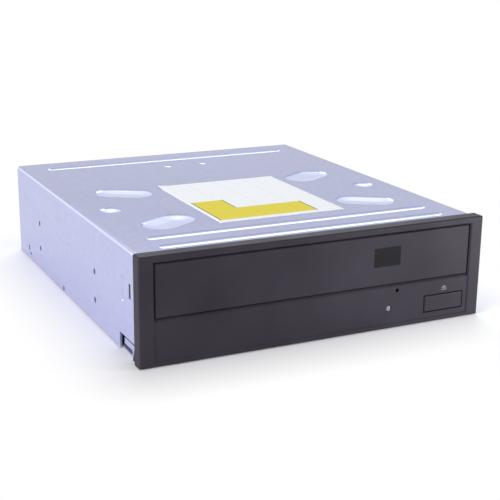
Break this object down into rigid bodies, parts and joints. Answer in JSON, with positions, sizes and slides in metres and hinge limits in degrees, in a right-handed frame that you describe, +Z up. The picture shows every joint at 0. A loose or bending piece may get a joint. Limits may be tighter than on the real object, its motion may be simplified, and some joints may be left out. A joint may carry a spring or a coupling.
{
  "type": "internal optical disc drive",
  "caption": "Half-height internal disc writer: folded steel case, black bezel with sliding tray, lifting deck with spindle and pickup, gear train, clamper and rear data socket.",
  "frame": {"origin": "centre of the bounding box at the level of the bottom cover, on which the drive rests", "axes": "+X to the right seen from the front, +Y to the rear, +Z up; the bezel's front is at -Y"},
  "size_m": [0.148, 0.17, 0.042],
  "materials": {
    "galvanised_steel": "satin spangled zinc",
    "bezel_black": "fine moulded texture",
    "frame_plastic": "moulded",
    "tray_plastic": "fine moulded texture",
    "gear_plastic": "natural acetal",
    "clamper_plastic": "moulded",
    "screw_steel": "zinc plated",
    "shaft_steel": "ground",
    "motor_steel": "plated can",
    "magnet": "sintered",
    "rubber": "soft",
    "carriage_metal": "die cast",
    "lens_glass": "coated",
    "clear_plastic": "clear",
    "lamp_plastic": "diffused",
    "board_green": "solder mask",
    "chip_black": "moulded",
    "socket_plastic": "moulded",
    "ivory_plastic": "moulded",
    "gold_contact": "gold plated"
  },
  "bodies": {
    "housing": {"top_case": "galvanised_steel", "bottom_cover": "galvanised_steel", "bottom_cover_screws": "screw_steel", "front_bezel": "bezel_black", "main_frame": "frame_plastic", "tray_rail_left": "frame_plastic", "tray_rail_right": "frame_plastic", "rear_crossbar": "frame_plastic", "clamper_bridge": "galvanised_steel", "bridge_screws": "screw_steel", "loading_motor": "motor_steel", "loading_motor_screws": "screw_steel", "drive_belt": "rubber", "main_board": "board_green", "board_screws": "screw_steel", "board_chips": "chip_black", "cable_sockets": "ivory_plastic", "sata_socket": "socket_plastic", "socket_contacts": "gold_contact", "front_board": "board_green", "front_board_screws": "screw_steel", "eject_switch": "ivory_plastic", "light_pipe": "clear_plastic", "status_lamp": "lamp_plastic"},
    "tray": {"disc_tray": "tray_plastic", "tray_door": "bezel_black"},
    "deck": {"deck_frame": "frame_plastic", "rubber_dampers": "rubber", "damper_screws": "screw_steel", "traverse_plate": "galvanised_steel", "main_guide_rod": "shaft_steel", "second_guide_rod": "shaft_steel", "spindle_motor": "motor_steel", "feed_motor": "motor_steel", "feed_bracket": "galvanised_steel"},
    "spindle": {"spindle_shaft": "shaft_steel", "spindle_rotor": "motor_steel", "turntable": "socket_plastic", "turntable_pad": "rubber"},
    "pickup": {"pickup_carriage": "carriage_metal", "lens_cover": "socket_plastic", "objective_lens": "lens_glass", "feed_nut": "gear_plastic"},
    "feed_screw": {"lead_screw": "shaft_steel"},
    "cam": {"cam_slider": "gear_plastic"},
    "clamp": {"clamper": "clamper_plastic", "clamper_magnet": "magnet"},
    "drive_wheel": {"tray_drive_gear": "gear_plastic"},
    "pulley_wheel": {"pulley_gear": "gear_plastic"},
    "motor_rotor": {"motor_shaft": "shaft_steel", "motor_pulley": "gear_plastic"},
    "button": {"eject_button": "bezel_black"}
  },
  "joints": [
    {"name": "tray_slide", "type": "slide", "parent": "housing", "child": "tray", "axis": [0, -1, 0], "range_m": [0, 0.136]},
    {"name": "drive_gear_spin", "type": "hinge", "parent": "housing", "child": "drive_wheel", "pos_m": [0.04, -0.063, 0.0125], "axis": [0, 0, 1], "range_deg": [-710, 0]},
    {"name": "pulley_gear_spin", "type": "hinge", "parent": "housing", "child": "pulley_wheel", "pos_m": [0.0207, -0.063, 0.0125], "axis": [0, 0, 1], "range_deg": [0, 2130]},
    {"name": "motor_spin", "type": "hinge", "parent": "housing", "child": "motor_rotor", "pos_m": [-0.02, -0.065, 0.0165], "axis": [0, 0, 1], "range_deg": [0, 7040]},
    {"name": "deck_lift", "type": "hinge", "parent": "housing", "child": "deck", "pos_m": [0, 0.065, 0.013], "axis": [-1, 0, 0], "range_deg": [0, 5]},
    {"name": "cam_slide", "type": "slide", "parent": "housing", "child": "cam", "axis": [1, 0, 0], "range_m": [0, 0.0221]},
    {"name": "turntable_spin", "type": "hinge", "parent": "deck", "child": "spindle", "pos_m": [0, -0.01531, 0.013], "axis": [0, -0.0872, 0.9962], "continuous": true},
    {"name": "clamper_spin", "type": "hinge", "parent": "housing", "child": "clamp", "pos_m": [0, -0.015, 0.03], "axis": [0, 0, 1], "continuous": true},
    {"name": "pickup_slide", "type": "slide", "parent": "deck", "child": "pickup", "axis": [0, 0.9962, 0.0872], "range_m": [0, 0.035]},
    {"name": "lead_screw_spin", "type": "hinge", "parent": "deck", "child": "feed_screw", "pos_m": [0.0324, 0.01506, 0.01014], "axis": [0, 0.9962, 0.0872], "range_deg": [0, 4202]},
    {"name": "button_press", "type": "slide", "parent": "housing", "child": "button", "axis": [0, 1, 0], "range_m": [0, 0.001], "stiffness_N_per_m": 600}
  ],
  "couplings": [
    {"joint": "drive_gear_spin", "follows": "tray_slide", "rad_per_m": -90.909},
    {"joint": "pulley_gear_spin", "follows": "tray_slide", "rad_per_m": 272.73},
    {"joint": "motor_spin", "follows": "tray_slide", "rad_per_m": 902.1},
    {"joint": "cam_slide", "follows": "deck_lift", "m_per_rad": 0.2521},
    {"joint": "clamper_spin", "follows": "turntable_spin", "ratio": 1},
    {"joint": "lead_screw_spin", "follows": "pickup_slide", "rad_per_m": 2094.4}
  ]
}
